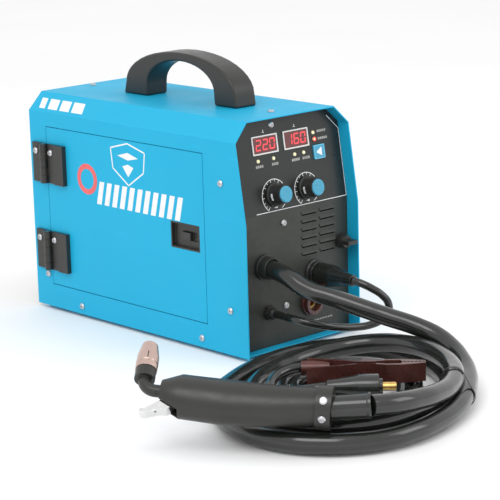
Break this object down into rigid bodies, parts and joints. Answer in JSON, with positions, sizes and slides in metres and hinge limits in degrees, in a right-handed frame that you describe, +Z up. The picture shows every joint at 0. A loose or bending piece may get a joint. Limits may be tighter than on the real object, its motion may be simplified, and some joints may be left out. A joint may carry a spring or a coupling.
{
  "type": "mig welder",
  "caption": "Portable inverter welder with sheet metal case, side door over the wire bay, sloping control panel, carry handle, coiled torch and lead, polarity lead and work clamp.",
  "frame": {"origin": "centre of the base pan's underside, on the floor", "axes": "+Z up, -Y out of the control panel, -X out of the wire bay door"},
  "size_m": [0.4722, 0.7469, 0.3275],
  "materials": {
    "case": "gloss",
    "panel": "matte",
    "overlay": "satin",
    "black_plastic": "satin",
    "display": "gloss",
    "lamp": "gloss",
    "blue_plastic": "satin",
    "brass": "satin",
    "steel": "brushed",
    "chrome": "polished",
    "copper": "satin",
    "board": "satin",
    "aluminium": "satin",
    "rubber": "satin",
    "red_plastic": "gloss",
    "socket": "satin",
    "spool": "satin",
    "clamp": "satin"
  },
  "bodies": {
    "case": {"cover": "case", "base_tray": "case", "front_panel": "panel", "control_overlay": "overlay", "display_windows": "display", "indicator_lamps": "lamp", "control_board": "board", "torch_gland": "black_plastic", "polarity_gland": "black_plastic", "panel_sockets": "socket", "socket_inserts": "brass", "polarity_plug": "rubber", "plug_pins": "brass", "polarity_lead": "rubber", "rear_panel": "panel", "power_switch": "black_plastic", "mains_gland": "black_plastic", "gas_inlet": "brass", "fan_frame": "black_plastic", "hinge_case_leaves": "black_plastic", "hinge_pins": "steel", "handle": "black_plastic", "screws": "steel", "partition": "steel", "main_board": "board", "heat_sink": "aluminium", "feed_motor": "steel", "feed_plate": "aluminium", "spool_hub": "black_plastic", "torch_handle": "black_plastic", "torch_neck": "black_plastic", "nozzle": "copper", "contact_tip": "copper", "torch_collar": "black_plastic", "torch_sleeve": "rubber", "torch_lead": "rubber", "cable_tie": "black_plastic", "clamp_lower_jaw": "clamp", "work_lead": "rubber", "work_plug": "rubber"},
    "door": {"side_door": "case", "hinge_door_leaves": "black_plastic", "door_latch": "black_plastic", "door_screws": "steel"},
    "latch": {"latch_slider": "black_plastic"},
    "button": {"mode_button": "blue_plastic"},
    "left_dial": {"left_knob": "black_plastic", "left_knob_cap": "blue_plastic"},
    "right_dial": {"right_knob": "black_plastic", "right_knob_cap": "blue_plastic"},
    "pointer_dial": {"pointer_knob": "black_plastic"},
    "rocker": {"power_rocker": "red_plastic"},
    "fan": {"fan_rotor": "black_plastic"},
    "spool": {"wire_spool": "spool"},
    "drive": {"drive_roll": "steel"},
    "arm": {"pressure_arm": "black_plastic"},
    "idler": {"pressure_roll": "steel"},
    "tensioner": {"tension_knob": "red_plastic"},
    "trigger": {"torch_trigger": "chrome"},
    "jaw": {"clamp_upper_jaw": "clamp"}
  },
  "joints": [
    {"name": "door_swing", "type": "hinge", "parent": "case", "child": "door", "pos_m": [-0.095, 0.162, 0.13], "axis": [0, 0, -1], "range_deg": [0, 110]},
    {"name": "latch_slide", "type": "slide", "parent": "door", "child": "latch", "axis": [0, -1, 0], "range_m": [0, 0.008]},
    {"name": "button_press", "type": "slide", "parent": "case", "child": "button", "axis": [0, 0.9889, -0.1488], "range_m": [0, 0.0012], "stiffness_N_per_m": 600},
    {"name": "left_knob_turn", "type": "hinge", "parent": "case", "child": "left_dial", "pos_m": [-0.0265, -0.17403, 0.18078], "axis": [0, 0.9889, -0.1488], "range_deg": [0, 270]},
    {"name": "right_knob_turn", "type": "hinge", "parent": "case", "child": "right_dial", "pos_m": [0.0245, -0.17403, 0.18078], "axis": [0, 0.9889, -0.1488], "range_deg": [0, 270]},
    {"name": "pointer_turn", "type": "hinge", "parent": "case", "child": "pointer_dial", "pos_m": [0.076, -0.18, 0.11], "axis": [0, 1, 0], "range_deg": [0, 90]},
    {"name": "rocker_tilt", "type": "hinge", "parent": "case", "child": "rocker", "pos_m": [-0.046, 0.189, 0.205], "axis": [1, 0, 0], "range_deg": [0, 20]},
    {"name": "fan_spin", "type": "hinge", "parent": "case", "child": "fan", "pos_m": [0.038, 0.175, 0.165], "axis": [0, 1, 0], "continuous": true},
    {"name": "spool_spin", "type": "hinge", "parent": "case", "child": "spool", "pos_m": [-0.051, 0.046, 0.152], "axis": [1, 0, 0], "continuous": true},
    {"name": "drive_spin", "type": "hinge", "parent": "case", "child": "drive", "pos_m": [-0.048, -0.1, 0.0845], "axis": [1, 0, 0], "continuous": true},
    {"name": "arm_lift", "type": "hinge", "parent": "case", "child": "arm", "pos_m": [-0.04, -0.128, 0.113], "axis": [1, 0, 0], "range_deg": [0, 60]},
    {"name": "idler_spin", "type": "hinge", "parent": "arm", "child": "idler", "pos_m": [-0.048, -0.1, 0.1116], "axis": [1, 0, 0], "continuous": true},
    {"name": "tension_turn", "type": "hinge", "parent": "arm", "child": "tensioner", "pos_m": [-0.045, -0.073, 0.12], "axis": [0, 0, 1], "continuous": true},
    {"name": "trigger_pull", "type": "hinge", "parent": "case", "child": "trigger", "pos_m": [-0.34856, -0.3573, 0.05132], "axis": [0.3522, 0.3614, -0.8634], "range_deg": [0, 12], "stiffness_Nm_per_rad": 0.6, "springref_deg": -2.86},
    {"name": "clamp_open", "type": "hinge", "parent": "case", "child": "jaw", "pos_m": [-0.106, -0.391, 0.0342], "axis": [0, 0, -1], "range_deg": [0, 20], "stiffness_Nm_per_rad": 0.6, "springref_deg": -5.73}
  ],
  "couplings": [
    {"joint": "idler_spin", "follows": "drive_spin", "ratio": -1.59}
  ]
}
